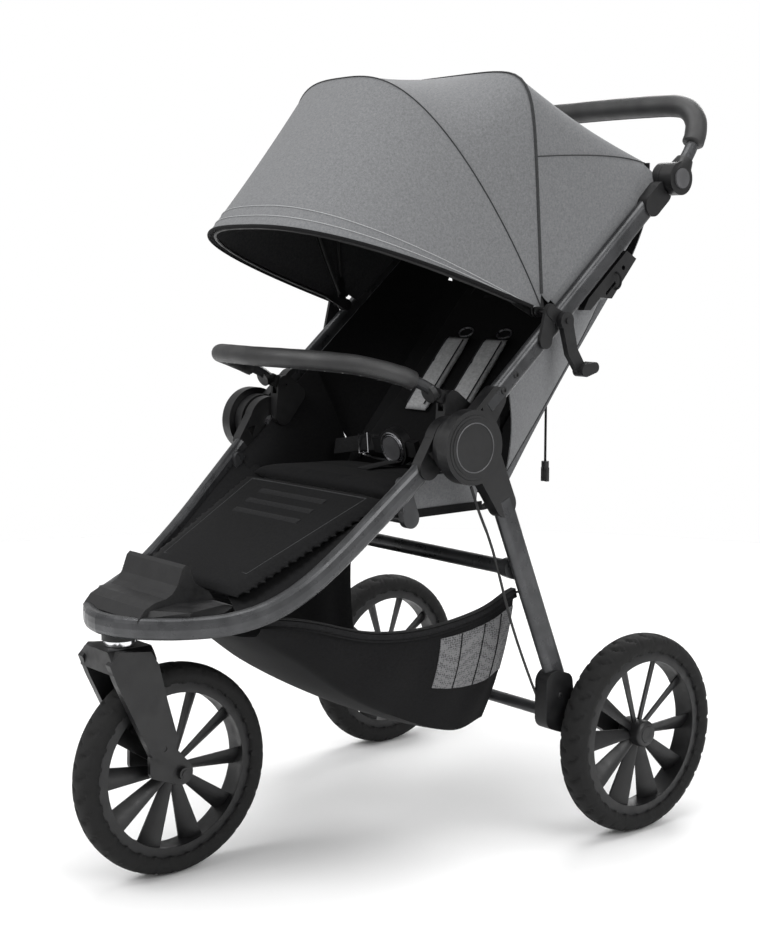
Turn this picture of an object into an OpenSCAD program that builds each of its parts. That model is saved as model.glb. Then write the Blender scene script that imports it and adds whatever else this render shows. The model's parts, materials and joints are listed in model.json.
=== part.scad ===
// Three-wheel jogging stroller: folding frame, swivel front wheel, reclining seat and canopy.
// Front of the stroller faces -Y, up is +Z, and the object is symmetric about the plane X = 0.
// Side-view points are written [y, z] and are measured before base_shift centres the object.

/* [Wheels] */
// Radius of all three wheels over the tyre
wheel_r = 150; // [140:1:160]
// Width of a tyre
tyre_w = 47; // [40:1:50]
// Half the distance between the rear wheels' centre planes
rear_track = 297; // [290:1:310]
// Number of blades in a wheel
blades = 10; // [8:1:12]
// Radius of a wheel axle
axle_r = 5; // [4:0.5:6]

/* [Frame] */
// Rise of the side tubes above the horizontal, in degrees
tube_rise = 40.8; // [38:0.2:44]
// Width of a side tube across the stroller
tube_w = 18; // [16:1:20]
// Height of a side tube
tube_h = 30; // [26:1:32]
// Distance of the upper tubes' centres from the middle plane
upper_x = 238; // [236:1:242]
// Distance of the lower tubes' centres from the middle plane, beside the hub
lower_x = 217; // [214:1:218]
// Radius of the fold hub's disc
hub_r = 52; // [46:1:56]

/* [Handle] */
// Radius of the handle's padded grip
grip_r = 16.5; // [14:0.5:18]
// Height of the grip above the floor
grip_z = 1090; // [1070:5:1100]

/* [Canopy] */
// Half the width of the canopy at its pivots
canopy_a = 234; // [232:1:240]
// Thickness of a canopy bow
bow_t = 5; // [4:0.5:6]

/* [Hidden] */
$fn = 48;
smooth = 36;
base_shift = 27;
eps = 0.01;
hub = [-34, 600];
canopy_pivot = [127, 782];
handle_pivot = [389, 976];
bumper_pivot = [-18, 659];
brake_pivot = [150, 768];
arm_pivot = [146, 196];
link_pivot = [-396, 194];
front_axle = [-360, wheel_r];
rear_axle = [275, wheel_r];
steer_y = -438;
tube_dir = [cos(tube_rise), sin(tube_rise)];
tube_ref = [115, 738];
pin_r = 6;
rim_seat_r = wheel_r - 24;
rim_open_r = rim_seat_r - 17;

// ---------- geometry helpers ----------
function unit(v) = v / norm(v);
function tangent(p, i) = i == 0 ? unit(p[1] - p[0]) : i == len(p) - 1 ? unit(p[i] - p[i - 1])
    : unit(unit(p[i + 1] - p[i]) + unit(p[i] - p[i - 1]));
function cr(a, b, c, d, t) = 0.5 * (2 * b + (c - a) * t + (2 * a - 5 * b + 4 * c - d) * t * t
    + (3 * b - a - 3 * c + d) * t * t * t);
function spline(p, steps) = concat([for (i = [0:len(p) - 2]) for (k = [0:steps - 1])
    cr(p[max(i - 1, 0)], p[i], p[i + 1], p[min(i + 2, len(p) - 1)], k / steps)], [p[len(p) - 1]]);
function both_halves(half) = concat(half, [for (i = [len(half) - 2:-1:0]) [-half[i][0], half[i][1],
    half[i][2]]]);
function oval(w, h, n) = [for (i = [0:n - 1]) let (c = cos(360 * i / n), s = sin(360 * i / n))
    [w / 2 * sign(c) * pow(abs(c), 0.7), h / 2 * sign(s) * pow(abs(s), 0.7)]];
function ring(r, n) = [for (i = [0:n - 1]) r * [cos(360 * i / n), sin(360 * i / n)]];
function on_tube(y) = [y, tube_ref[1] + (y - tube_ref[0]) * tan(tube_rise)];
// A point at angle t on a canopy arch [rise, lean, roundness up, roundness across] of half width a.
function arch(a, s, t) = let (k = (s[2] + s[3]) / 4, v = unit([pow(abs(cos(t)), k), pow(abs(sin(t)), k)]),
    r = s[0] * pow(v[1], 2 / s[2]))
    [a * sign(cos(t)) * pow(v[0], 2 / s[3]), canopy_pivot[0] + r * cos(s[1]),
        canopy_pivot[1] + r * sin(s[1])];

// A solid swept along path, where prof is a counter-clockwise outline of [sideways, upwards] points.
module sweep(path, prof, up = [0, 0, 1]) {
    n = len(prof);
    m = len(path);
    pts = [for (i = [0:m - 1]) let (t = tangent(path, i), s = unit(cross(t, up)), u = cross(s, t))
        for (q = prof) path[i] + s * q[0] + u * q[1]];
    walls = [for (i = [0:m - 2]) for (j = [0:n - 1]) let (a = i * n + j, b = i * n + (j + 1) % n)
        each [[a, b, b + n], [a, b + n, a + n]]];
    polyhedron(pts, concat(walls, [[for (j = [n - 1:-1:0]) j]], [[for (j = [0:n - 1]) (m - 1) * n + j]]));
}

// A closed sheet between two equal grids of points, the outer and the inner face.
module sheet(outer, inner) {
    m = len(outer);
    n = len(outer[0]);
    pts = concat([for (r = outer) each r], [for (r = inner) each r]);
    k = m * n;
    quads = concat(
        [for (i = [0:m - 2]) for (j = [0:n - 2]) [i * n + j, i * n + j + 1, (i + 1) * n + j + 1,
            (i + 1) * n + j]],
        [for (i = [0:m - 2]) for (j = [0:n - 2])
            [k + i * n + j, k + (i + 1) * n + j, k + (i + 1) * n + j + 1, k + i * n + j + 1]],
        [for (i = [0:m - 2]) each [[i * n, (i + 1) * n, k + (i + 1) * n, k + i * n],
            [i * n + n - 1, k + i * n + n - 1, k + (i + 1) * n + n - 1, (i + 1) * n + n - 1]]],
        [for (j = [0:n - 2]) each [[j, k + j, k + j + 1, j + 1],
            [(m - 1) * n + j, (m - 1) * n + j + 1, k + (m - 1) * n + j + 1, k + (m - 1) * n + j]]]);
    polyhedron(pts, [for (q = quads) each [[q[0], q[1], q[2]], [q[0], q[2], q[3]]]]);
}

module pair() {
    children();
    mirror([1, 0, 0]) children();
}
// Extrudes a [y, z] outline from x by t.
module plate(x, t) translate([x, 0, 0]) rotate([90, 0, 90]) linear_extrude(t) children();
// A round bar along X from x by t at a side-view point.
module bar_x(x, t, p, r) translate([x, p[0], p[1]]) rotate([0, 90, 0]) cylinder(h = t, r = r);
module dot(p, r) translate(p) circle(r, $fn = 32);
module stadium(w, h) {
    square([w, h - w], center = true);
    for (s = [-1, 1]) translate([0, s * (h - w) / 2]) circle(w / 2);
}
// A straight oval tube from side-view point p towards q.
module straight_tube(x, p, q, w, h, wall) {
    rise = atan2(q[1] - p[1], q[0] - p[0]);
    translate([x, p[0], p[1]]) rotate([rise - 90, 0, 0]) linear_extrude(norm(q - p)) difference() {
        stadium(w, h);
        stadium(w - 2 * wall, h - 2 * wall);
    }
}
module placed() translate([0, base_shift, 0]) children();

// ---------- lower frame ----------
lower_half = [[lower_x - 4, -84, 566], [212, -100, 552], [204, -150, 509], [195, -205, 462], [185,
    -260, 421],
    [170, -310, 394], [148, -360, 380], [115, -405, 375], [75, -440, 373], [35, -460, 372], [0, -466,
        372]];
module lower_tube() color("#3a3b3d") sweep(both_halves(spline(lower_half, 3)), oval(tube_w, tube_h, 16));

module lower_hinge_plates() color("#232426") pair() difference() {
    plate(lower_x - 10, 18.5) union() {
        dot(hub, 40);
        hull() {
            dot(hub + [-20, 0], 22);
            dot(on_tube(-78), 17);
        }
    }
    bar_x(lower_x - 11, 22, hub, pin_r + 0.06);
    plate(lower_x - 11, 22) polygon([hub + [-46, -8], hub + [-36, -20], hub + [-30, -4]]);
    sweep(spline(lower_half, 3), oval(tube_w + 0.4, tube_h + 0.4, 16));
}

module hub_pins() color("#8a8c90") pair() {
    bar_x(lower_x - 13, 60.5, hub, pin_r);
    bar_x(lower_x - 15, 5, hub, 11);
}

// Ramp over the nose, with a raised stop for the feet at its back.
foot_ramp = [[-452, 384], [-440, 398], [-425, 405], [-408, 408], [-398, 413], [-390, 423], [-381, 446],
    [-376, 450], [-370, 447], [-362, 424], [-340, 410], [-330, 396]];
function foot_half(y) = y < -380 ? 40 + 86 * sqrt(max(0, 1 - pow((y + 380) / 76, 2))) : 126;
module footplate() color("#2a2b2d") difference() {
    union() {
        plate(-72, 144) polygon(concat(foot_ramp, [[-330, 386], [-452, 378]]));
        hull() {
            plate(-118, 236) polygon([[-400, 385], [-345, 389], [-330, 396], [-345, 400], [-400, 396]]);
            plate(-62, 124) polygon([[-446, 384], [-440, 396], [-400, 400], [-380, 389]]);
        }
    }
    sweep(both_halves(spline(lower_half, 3)), oval(tube_w + 0.6, tube_h + 0.6, 16));
}

module steerer_housing() color("#1d1e20") difference() {
    union() {
        translate([0, steer_y, 346]) cylinder(h = 31, r = 24);
        plate(-20, 40) polygon([[steer_y, 370], [steer_y + 104, 384], [steer_y + 104, 374], [steer_y,
            350]]);
    }
    translate([0, steer_y, 340]) cylinder(h = 36, r = 9.06);
    sweep(both_halves(spline(lower_half, 3)), oval(tube_w + 0.6, tube_h + 0.6, 16));
}

module steerer_ring() color("#c4c6c9") difference() {
    translate([0, steer_y, 339]) cylinder(h = 7, r = 22);
    translate([0, steer_y, 338]) cylinder(h = 9, r = 20.4);
}

module seat_support_bar() color("#1d1e20") {
    bar_x(-193, 386, [-92, 500], 9);
    pair() difference() {
        plate(193, 11) hull() {
            dot([-92, 500], 14);
            dot(on_tube(-104), 9);
        }
        sweep(spline(lower_half, 3), oval(tube_w + 0.3, tube_h + 0.3, 16));
    }
}

// ---------- seat ----------
module seat_base() color("#17181a") hull() {
    for (x = [-1, 1]) for (p = [[-82, 529], [52, 524]]) translate([x * 168, p[0], p[1]]) sphere(14,
        $fn = 20);
}

leg_top = [-104, 522];
leg_end = [-326, 412];
module leg_rest() color("#17181a") hull() {
    for (x = [-1, 1]) {
        translate([x * 184, leg_top[0], leg_top[1]]) sphere(8, $fn = 16);
        translate([x * 140, leg_end[0], leg_end[1]]) sphere(6, $fn = 16);
    }
}

// Fabric that closes the space between the seat and the tubes on each side.
module side_wings() color("#141416") pair() plate(184.5, 3)
    polygon([[-92, 540], [-50, 577], [36, 640], [30, 540], [-60, 506]]);

module harness_straps() color("#1a1b1d") union() {
    pair() hull() {
        translate([54, 60, 560]) cube([2, 4, 26]);
        translate([162, 58, 545]) cube([2, 4, 26]);
    }
    plate(-13, 26) polygon([[-16, 541.5], [-10, 541.5], [50, 546.5], [48, 550.5]]);
}
module buckle() color("#202124") difference() {
    translate([0, 60, 574]) rotate([105, 0, 0]) union() {
        cylinder(h = 16, r = 30);
        translate([-50, -12, 3]) cube([100, 24, 10]);
    }
    translate([0, 60, 574]) rotate([105, 0, 0]) translate([0, 0, 9]) cylinder(h = 12, r = 19.3);
}
module buckle_button() color("#4a4c50") translate([0, 60, 574]) rotate([105, 0, 0]) translate([0, 0, 13])
    cylinder(h = 6, r = 19);

// ---------- storage basket ----------
// Tub of soft cloth: [half width, y, z] of its rim and of its sagging floor, front to back.
basket_rim = [[132, -300, 370], [168, -232, 372], [186, -150, 366], [192, -40, 360], [194, 60, 358],
    [194, 116, 368]];
basket_floor = [[104, -286, 344], [122, -222, 300], [134, -140, 240], [140, -40, 188], [142, 44,
    160], [146, 98, 172]];
basket_rows = 4;
basket_cols = 10;
// A row of points around one cross-section, from the left rim down, across the floor and up.
function section(i, t) = let (r = basket_rim[i], f = basket_floor[i], w = r[0] - t, v = f[0] - t)
    concat([for (k = [0:basket_rows]) let (q = k / basket_rows)
        [-w + (w - v) * q * q, r[1] + (f[1] - r[1]) * q, r[2] + (f[2] + t - r[2]) * q]],
    [for (k = [1:basket_cols - 1]) let (q = 2 * k / basket_cols - 1)
        [v * q, f[1], f[2] + t - 10 * (1 - q * q)]],
    [for (k = [basket_rows:-1:0]) let (q = k / basket_rows)
        [w - (w - v) * q * q, r[1] + (f[1] - r[1]) * q, r[2] + (f[2] + t - r[2]) * q]]);
module basket() color("#141517") tub();
module tub() {
    n = 2 * basket_rows + basket_cols + 1;
    m = len(basket_rim);
    outer = [for (i = [0:m - 1]) each section(i, 0)];
    inner = [for (i = [0:m - 1]) each [for (q = section(i, 3)) q + [0,
        i == 0 ? 3 : i == m - 1 ? -3 : 0, 0]]];
    k = m * n;
    cells = [for (i = [0:m - 2]) for (j = [0:n - 2]) [i * n + j, (i + 1) * n + j, (i + 1)
        * n + j + 1, i * n + j + 1]];
    faces = concat(
        [for (q = cells) each [[q[0], q[1], q[2]], [q[0], q[2], q[3]]]],
        [for (q = cells) each [[k + q[0], k + q[2], k + q[1]], [k + q[0], k + q[3], k + q[2]]]],
        [for (e = [0, m - 1]) for (j = [0:n / 2 - 1]) let (a = e * n + j, b = e * n + j + 1,
            c = e * n + n - 2 - j, d = e * n + n - 1 - j, f = e == 0 ? 1 : -1)
            each end_faces(a, b, c, d, k, f)],
        [for (i = [0:m - 2]) each [[i * n, k + i * n, k + (i + 1) * n], [i * n, k + (i + 1) * n,
            (i + 1) * n]]],
        [for (i = [0:m - 2]) let (a = i * n + n - 1, b = (i + 1) * n + n - 1)
            each [[a, b, k + b], [a, k + b, k + a]]],
        [for (e = [0, m - 1]) let (a = e * n, b = e * n + n - 1, f = e == 0 ? 1 : -1)
            each f > 0 ? [[a, b, k + b], [a, k + b, k + a]] : [[a, k + b, b], [a, k + a, k + b]]]);
    polyhedron(concat(outer, inner), [for (q = faces) [q[0], q[2], q[1]]]);
}
// End wall quads between the left and right sides, on the outer skin and, reversed, on the inner one.
function end_faces(a, b, c, d, k, f) = let (t = b == c ? [[a, b, d]] : [[a, b, c], [a, c, d]])
    concat([for (q = t) f > 0 ? q : [q[0], q[2], q[1]]],
    [for (q = t) f > 0 ? [k + q[0], k + q[2], k + q[1]] : [k + q[0], k + q[1], k + q[2]]]);

// ---------- bumper bar ----------
module bumper_brackets() color("#1d1e20") pair() difference() {
    plate(188, 19) hull() {
        dot(bumper_pivot, 15);
        dot(on_tube(2) + [4, 2], 14);
        dot(hub + [12, 10], 15);
    }
    bar_x(180, 30, bumper_pivot, 4.06);
    plate(191.5, 11) dot(bumper_pivot, 21);
    bar_x(200, 8, hub, 11.3);
}
module bumper_joints() color("#232426") pair() difference() {
    union() {
        bar_x(192, 10, bumper_pivot, 14);
        hull() {
            bar_x(192, 10, bumper_pivot, 9);
            bar_x(192, 10, bumper_pivot + [-24, 10], 9);
        }
        hull() {
            bar_x(192, 10, bumper_pivot + [-26, 11], 8);
            translate([197, bumper_pivot[0] - 32, bumper_pivot[1] + 14]) rotate([114, 0, 0])
                cylinder(h = 8, r = 13, $fn = 32);
        }
        bar_x(187, 20, bumper_pivot, 4);
    }
    bar_x(186, 4, bumper_pivot, 1.5);
    sweep(bumper_path, ring(8.05, 12));
}
bumper_path = both_halves(spline([[197, -48, 673], [196, -62, 682], [190, -102, 698], [165, -150,
    712], [120, -186, 718],
    [60, -206, 720], [0, -210, 720]], 4));
module bumper_tube() color("#1d1e20") sweep(bumper_path, ring(8, 12));
module bumper_cover() color("#1b1b1c") difference() {
    sweep([for (i = [6:len(bumper_path) - 7]) bumper_path[i]], ring(13.5, 16));
    sweep(bumper_path, ring(8.05, 12));
}

// ---------- upper frame ----------
module upper_tubes() color("#3c3d3f") pair() straight_tube(upper_x, on_tube(14), on_tube(368),
    tube_w, tube_h, 2);

module upper_hinge_plates() color("#232426") pair() difference() {
    plate(upper_x - 9, 18) union() {
        dot(hub, 42);
        hull() {
            dot(hub + [16, 10], 26);
            dot(on_tube(28), 17);
        }
    }
    bar_x(upper_x - 12, 24, hub, pin_r + 0.06);
    plate(upper_x - 12, 24) polygon([hub + [22, 40], hub + [36, 34], hub + [34, 52]]);
    straight_solid(upper_x, on_tube(13.5), on_tube(80), tube_w + 0.2, tube_h + 0.2);
}
module straight_solid(x, p, q, w, h) {
    rise = atan2(q[1] - p[1], q[0] - p[0]);
    translate([x, p[0], p[1]]) rotate([rise - 90, 0, 0]) linear_extrude(norm(q - p)) stadium(w, h);
}

// Fixed half of the handle's height joint, clamped on the top of each side tube.
module handle_housings() color("#1f2022") pair() difference() {
    union() {
        plate(upper_x - 12, 14) dot(handle_pivot, 25);
        plate(upper_x - 12, 24) hull() {
            dot(on_tube(344), 17);
            dot(on_tube(366), 17);
        }
    }
    bar_x(upper_x - 13, 40, handle_pivot, 15.1);
    straight_solid(upper_x, on_tube(300), on_tube(368.2), tube_w + 0.2, tube_h + 0.2);
    plate(upper_x + 2.3, 30) dot(handle_pivot, 26.5);
}

// Toothed strips that take a tray or a carry cot, under each side tube.
module accessory_brackets() color("#202124") pair() difference() {
    plate(upper_x - 6, 12) polygon([on_tube(210) + [3, -21], on_tube(290) + [3, -21], on_tube(296)
        + [18, -38],
        on_tube(240) + [22, -48], on_tube(226) + [12, -34], on_tube(205) + [12, -34], on_tube(196)
            + [6, -26]]);
    bar_x(upper_x - 8, 16, on_tube(276) + [10, -34], 3.5);
    plate(upper_x - 8, 16) polygon([on_tube(236) + [12, -36], on_tube(256) + [12, -36], on_tube(256)
        + [14, -40],
        on_tube(236) + [14, -40]]);
}

// Clamps that hold the canopy's pins; the right-hand one also carries the parking brake's pin.
module canopy_clamps() color("#1d1e20") {
    pair() union() {
        plate(upper_x + 9, 5) hull() {
            dot(canopy_pivot, 11);
            dot(on_tube(118), 12);
        }
        bar_x(bow_layer - 2 * bow_step - 4, upper_x + 9 - bow_layer + 2 * bow_step + 5, canopy_pivot, 4);
    }
    plate(upper_x + 9, 6) hull() {
        dot(brake_pivot, 12);
        dot(canopy_pivot, 9);
    }
    bar_x(upper_x + 14, 13, brake_pivot, 4);
}

module upper_cross_tube() color("#1d1e20") {
    bar_x(-224, 448, on_tube(322) + [6, -8], 8);
    pair() plate(216, 12.7) hull() {
        dot(on_tube(322) + [6, -8], 12);
        dot(on_tube(322) + [2, -3], 12);
    }
}

// ---------- backrest ----------
back_foot = [86, 536];
back_rise = 50;
module back_frame() translate([0, back_foot[0], back_foot[1]]) rotate([back_rise, 0, 0]) children();
module back_pad() color("#17181a") back_frame() hull() {
    for (x = [-1, 1]) {
        translate([x * 148, 16, 0]) sphere(12, $fn = 20);
        translate([x * 128, 350, 0]) sphere(12, $fn = 20);
    }
}
module back_shell() color("#8b8d90") back_frame() hull() {
    for (x = [-1, 1]) {
        translate([x * 170, 8, -18]) sphere(4, $fn = 16);
        translate([x * 160, 360, -24]) sphere(4, $fn = 16);
        translate([x * 150, 200, -38]) sphere(4, $fn = 16);
    }
}
// Side cloth from each tube down to the backrest.
gusset_top = [for (y = [64:40:304]) on_tube(y) - [0, 4]];
gusset_low = [[112, 548], [142, 584], [174, 622], [208, 664], [246, 712], [284, 764], [318, 820]];
// Back curtain under the canopy's rear edge: [half width, y, z] from its top hem to its bottom hem.
curtain = [[220, 366, 1000], [221, 364, 960], [220, 358, 915], [204, 352, 870], [184, 342, 830]];
module back_curtain() color("#8b8d90") sheet(
    [for (c = curtain) [for (k = [-4:4]) [c[0] * k / 4, c[1] - 2, c[2]]]],
    [for (c = curtain) [for (k = [-4:4]) [c[0] * k / 4, c[1], c[2]]]]);
module seat_gussets() color("#8b8d90") pair() sheet(
    [for (k = [0:0.25:1]) [for (i = [0:6]) gusset_point(i, k, 0)]],
    [for (k = [0:0.25:1]) [for (i = [0:6]) gusset_point(i, k, 2)]]);
function gusset_point(i, k, t) = let (p = gusset_top[i] * (1 - k) + gusset_low[i] * k)
    [228.5 - 48 * k + 10 * sin(180 * k) - t, p[0], p[1]];
module shoulder_pads() color("#a4a6a8") for (x = [-44, 44]) back_frame() hull() {
    for (y = [92, 236]) for (s = [-1, 1]) translate([x + s * 18, y, 22]) sphere(8, $fn = 16);
}

// Cord that adjusts the recline, hanging free behind the backrest.
cord_r = 2;
cord_route = [[90, 268, 724], [90, 275, 719], [90, 281, 712], [90, 283, 702], [90, 283, 680], [90,
    283, 650],
    [90, 283, 620], [90, 283, 590], [90, 283, 560], [90, 283, 540]];
module recline_cord() color("#151515") sweep(cord_route, ring(cord_r, 8), [1, 0, 0]);
module recline_toggle() color("#151515") translate([90, 283, 516]) union() {
    translate([0, 0, 12]) cylinder(h = 12, r = 6);
    for (s = [-1, 1]) translate([s * 4 - 2.4, -3, -8]) cube([4.8, 6, 22]);
}

// ---------- handle ----------
handle_half = [[254, handle_pivot[0] + 14, handle_pivot[1] + 22], [254, 418, 1018], [252, 432, 1042],
    [246, 440, 1064],
    [230, 442, 1082], [204, 440, grip_z], [150, 438, grip_z + 2], [70, 438, grip_z + 3], [0, 438,
        grip_z + 3]];
handle_path = both_halves(spline(handle_half, 4));
module handle_tube() color("#1d1e20") sweep(handle_path, ring(10, 12));
module handle_grip() color("#1b1b1c") difference() {
    sweep([for (i = [4:len(handle_path) - 5]) handle_path[i]], ring(grip_r, 16));
    sweep(handle_path, ring(10.05, 12));
}
module handle_joints() color("#1f2022") pair() difference() {
    union() {
        bar_x(upper_x + 2.6, 23.4, handle_pivot, 25);
        hull() {
            bar_x(upper_x + 4, 22, handle_pivot + [2, 4], 17);
            translate([254, handle_pivot[0] + 15, handle_pivot[1] + 24]) rotate([-32, 0, 0])
                cylinder(h = 5, r = 13, $fn = 32);
        }
        bar_x(upper_x - 12, 15, handle_pivot, 15);
    }
    bar_x(upper_x + 16, 20, handle_pivot, 15.2);
    sweep(handle_path, ring(10.05, 12));
}
module handle_button(side) color("#2b2c2f") mirror([side < 0 ? 1 : 0, 0, 0]) bar_x(upper_x + 20.5,
    8.5, handle_pivot, 15);
module handle_button_left() handle_button(-1);
module handle_button_right() handle_button(1);

// ---------- parking brake ----------
lever_tip = brake_pivot + [32, -72];
module brake_lever() color("#242527") union() {
    difference() {
        plate(upper_x + 15.5, 9) union() {
            dot(brake_pivot, 13);
            hull() {
                dot(brake_pivot, 11);
                dot(brake_pivot + [12, -44], 10);
            }
            hull() {
                dot(brake_pivot + [12, -44], 10);
                dot(lever_tip, 9);
            }
        }
        bar_x(upper_x + 14, 14, brake_pivot, 4.06);
    }
    plate(upper_x + 13, 20) hull() {
        dot(lever_tip, 9);
        dot(lever_tip + [18, 4], 8);
    }
}

// ---------- rear frame ----------
leg_foot = [134, 262];
leg_knee = [26, 522];
leg_x = 258;
module rear_legs() color("#37383a") pair() straight_tube(leg_x, leg_knee, leg_foot + [4, -10],
    tube_w, 34, 2);

// Outer ring of each fold hub, with the yoke that takes the leg.
module hub_rings() color("#1f2022") pair() difference() {
    union() {
        bar_x(upper_x + 10, 20, hub, hub_r);
        plate(upper_x + 10, 19) hull() {
            dot(hub + [26, -20], 26);
            dot(leg_knee + [2, -6], 19);
        }
    }
    bar_x(upper_x + 5, 40, hub, pin_r + 0.06);
    bar_x(upper_x + 27, 10, hub, hub_r - 7);
    straight_solid(leg_x, leg_knee + [-0.12, 0.28], leg_foot + [4, -10], tube_w + 0.1, 34.1);
}
module hub_caps() color("#151617") pair() union() {
    bar_x(upper_x + 27, 3.5, hub, hub_r - 7.3);
    bar_x(upper_x + 30, 1.2, hub, hub_r - 12);
}

cross_high = [58, 419];
cross_low = [124, 200];
module rear_cross_tubes() color("#1a1b1c") {
    bar_x(-244, 488, cross_high, 11);
    pair() plate(236, 12.9) hull() {
        dot(cross_high, 14);
        dot(cross_high + [10, -4], 14);
    }
    bar_x(-246, 492, cross_low, 9);
}

module axle_boxes() color("#202123") pair() difference() {
    plate(leg_x - 12, 24) hull() {
        dot([128, 244], 18);
        dot([148, 240], 16);
        dot([128, 192], 18);
        dot([158, 176], 14);
    }
    straight_solid(leg_x, leg_knee, leg_foot + [4, -10], tube_w, 34);
    plate(leg_x - 8.2, 16.4) union() {
        hull() {
            dot(arm_pivot, 19);
            dot(arm_pivot + [60, 0], 22);
        }
        hull() {
            dot(arm_pivot, 19);
            dot(arm_pivot + [60, -30], 22);
        }
    }
    bar_x(leg_x - 14, 28, arm_pivot, 5.06);
    bar_x(leg_x - 30, 18.5, cross_low, 9);
}
// Brake cable in its clips, from the fold hub down the inside of each leg to the axle box.
cable_route = [[246, -20, 543], [246, -4, 505], [246, 22, 450], [246, 60, 340], [246, 94, 262], [247,
    112, 224]];
module brake_cable() color("#151515") pair() sweep(spline(cable_route, 3), ring(2, 8), [1, 0, 0]);

// Trailing arm of the rear suspension, with its pivot pin and the wheel's stub axle.
module arm(side) color("#202123") mirror([side < 0 ? 1 : 0, 0, 0]) union() {
    plate(leg_x - 7.6, 15.2) union() {
        hull() {
            dot(arm_pivot, 15);
            dot(rear_axle + [-52, 26], 13);
        }
        hull() {
            dot(rear_axle + [-52, 26], 13);
            dot(rear_axle, 18);
        }
    }
    bar_x(leg_x - 11.5, 23, arm_pivot, 5);
    bar_x(leg_x, rear_track - leg_x + 23, rear_axle, axle_r);
}
module arm_left() arm(-1);
module arm_right() arm(1);

// ---------- wheels ----------
module tyre_section(r) translate([r - 20, 0]) union() {
    scale([1, 1]) intersection() {
        translate([-3.5, 0]) circle(23.5);
        translate([-6, -30]) square([40, 60]);
    }
}
module tyre(x, p) color("#161617") translate([x, p[0], p[1]]) rotate([0, 90, 0])
    rotate_extrude($fn = 96) difference() {
    tyre_section(wheel_r);
    translate([rim_seat_r - 8, -18]) square([8, 36]);
}
// One blade of the wheel, lying along +X of the wheel's own frame and leaning sideways.
module blade(r0, r1) rotate([0, 0, 0]) linear_extrude(7, center = true)
    polygon([[r0, -9], [r1, -13], [r1, 3], [r0, 3]]);
module rim(x, p, width) color("#1c1d1f") translate([x, p[0], p[1]]) rotate([0, 90, 0]) difference() {
    union() {
        rotate_extrude($fn = 96) translate([0, -17]) polygon([[rim_open_r, 0], [rim_seat_r, 0],
            [rim_seat_r, 34], [rim_open_r, 34], [rim_open_r + 4, 17]]);
        translate([0, 0, -width / 2]) cylinder(h = width, r = 20);
        for (i = [0:blades - 1]) rotate([0, 0, 360 / blades * i]) rotate([34, 0, 0]) blade(16,
            rim_open_r + 3);
    }
    translate([0, 0, -width / 2 - 1]) cylinder(h = width + 2, r = axle_r + 0.06);
}
module rear_rim_left() rim(-rear_track, rear_axle, 44);
module rear_rim_right() rim(rear_track, rear_axle, 44);
module rear_tyre_left() tyre(-rear_track, rear_axle);
module rear_tyre_right() tyre(rear_track, rear_axle);
module front_wheel() {
    rim(0, front_axle, 44);
    tyre(0, front_axle);
}

// ---------- front fork ----------
fork_x = 31;
module fork() color("#202124") union() {
    pair() difference() {
        plate(fork_x, 12) polygon([[-462, 338], [-478, 322], [-468, 296], [-440, 236], [-415, 184],
            [-390, 174],
            [-374, 204], [-390, 262], [-402, 312], [-414, 332]]);
        bar_x(fork_x - 1, 14, link_pivot, 4.06);
    }
    intersection() {
        translate([-fork_x - 12, -474, 308]) cube([2 * fork_x + 24, 68, 30]);
        translate([0, -440, 300]) rotate([90, 0, 0]) translate([0, 0, -40]) cylinder(h = 80, r = 48);
    }
    translate([0, steer_y, 330]) cylinder(h = 15.7, r = 20);
    translate([0, steer_y, 330]) cylinder(h = 44, r = 9);
}
module front_link() color("#222326") union() {
    pair() difference() {
        plate(fork_x - 7.2, 7) hull() {
            dot(link_pivot, 15);
            dot(front_axle, 17);
            dot([-400, 160], 12);
        }
    }
    bar_x(-fork_x - 8, 2 * fork_x + 16, front_axle, axle_r);
    pair() bar_x(fork_x - 1, 8, front_axle, 9);
    pair() bar_x(fork_x - 5, 16, link_pivot, 4);
}

// ---------- canopy ----------
visor = [377, 161.6, 2.62, 2.62];
mid = [378, 118.4, 1.8, 3];
rear = [341, 94.1, 10.8, 8.4];
rear_edge = [331, 43.2, 12, 12];
cloth_t = 2;
bow_step = 6;
arch_from = 3;
function arch_row(s, a) = [for (j = [0:smooth]) arch(a, s, arch_from + (180 - 2 * arch_from)
    * j / smooth)];
function smaller(s, t) = [s[0] - t, s[1], s[2], s[3]];
function mix_rows(p, q, k) = [for (j = [0:smooth]) p[j] * (1 - k) + q[j] * k];
// Cloth stretched between two arches, from fraction k0 to k1 of the way across.
module panel(p, q, steps, k0, k1) color("#8b8d90") sheet(
    [for (i = [0:steps]) mix_rows(arch_row(p, canopy_a), arch_row(q, canopy_a), k0 + (k1 - k0)
        * i / steps)],
    [for (i = [0:steps]) mix_rows(arch_row(smaller(p, cloth_t), canopy_a - cloth_t),
        arch_row(smaller(q, cloth_t), canopy_a - cloth_t), k0 + (k1 - k0) * i / steps)]);
module canopy_visor() panel(visor, mid, 5, 0, 0.992);
module canopy_mid() panel(mid, rear, 4, 0.008, 0.992);
module canopy_rear() panel(rear, rear_edge, 5, 0.008, 1);
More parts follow.
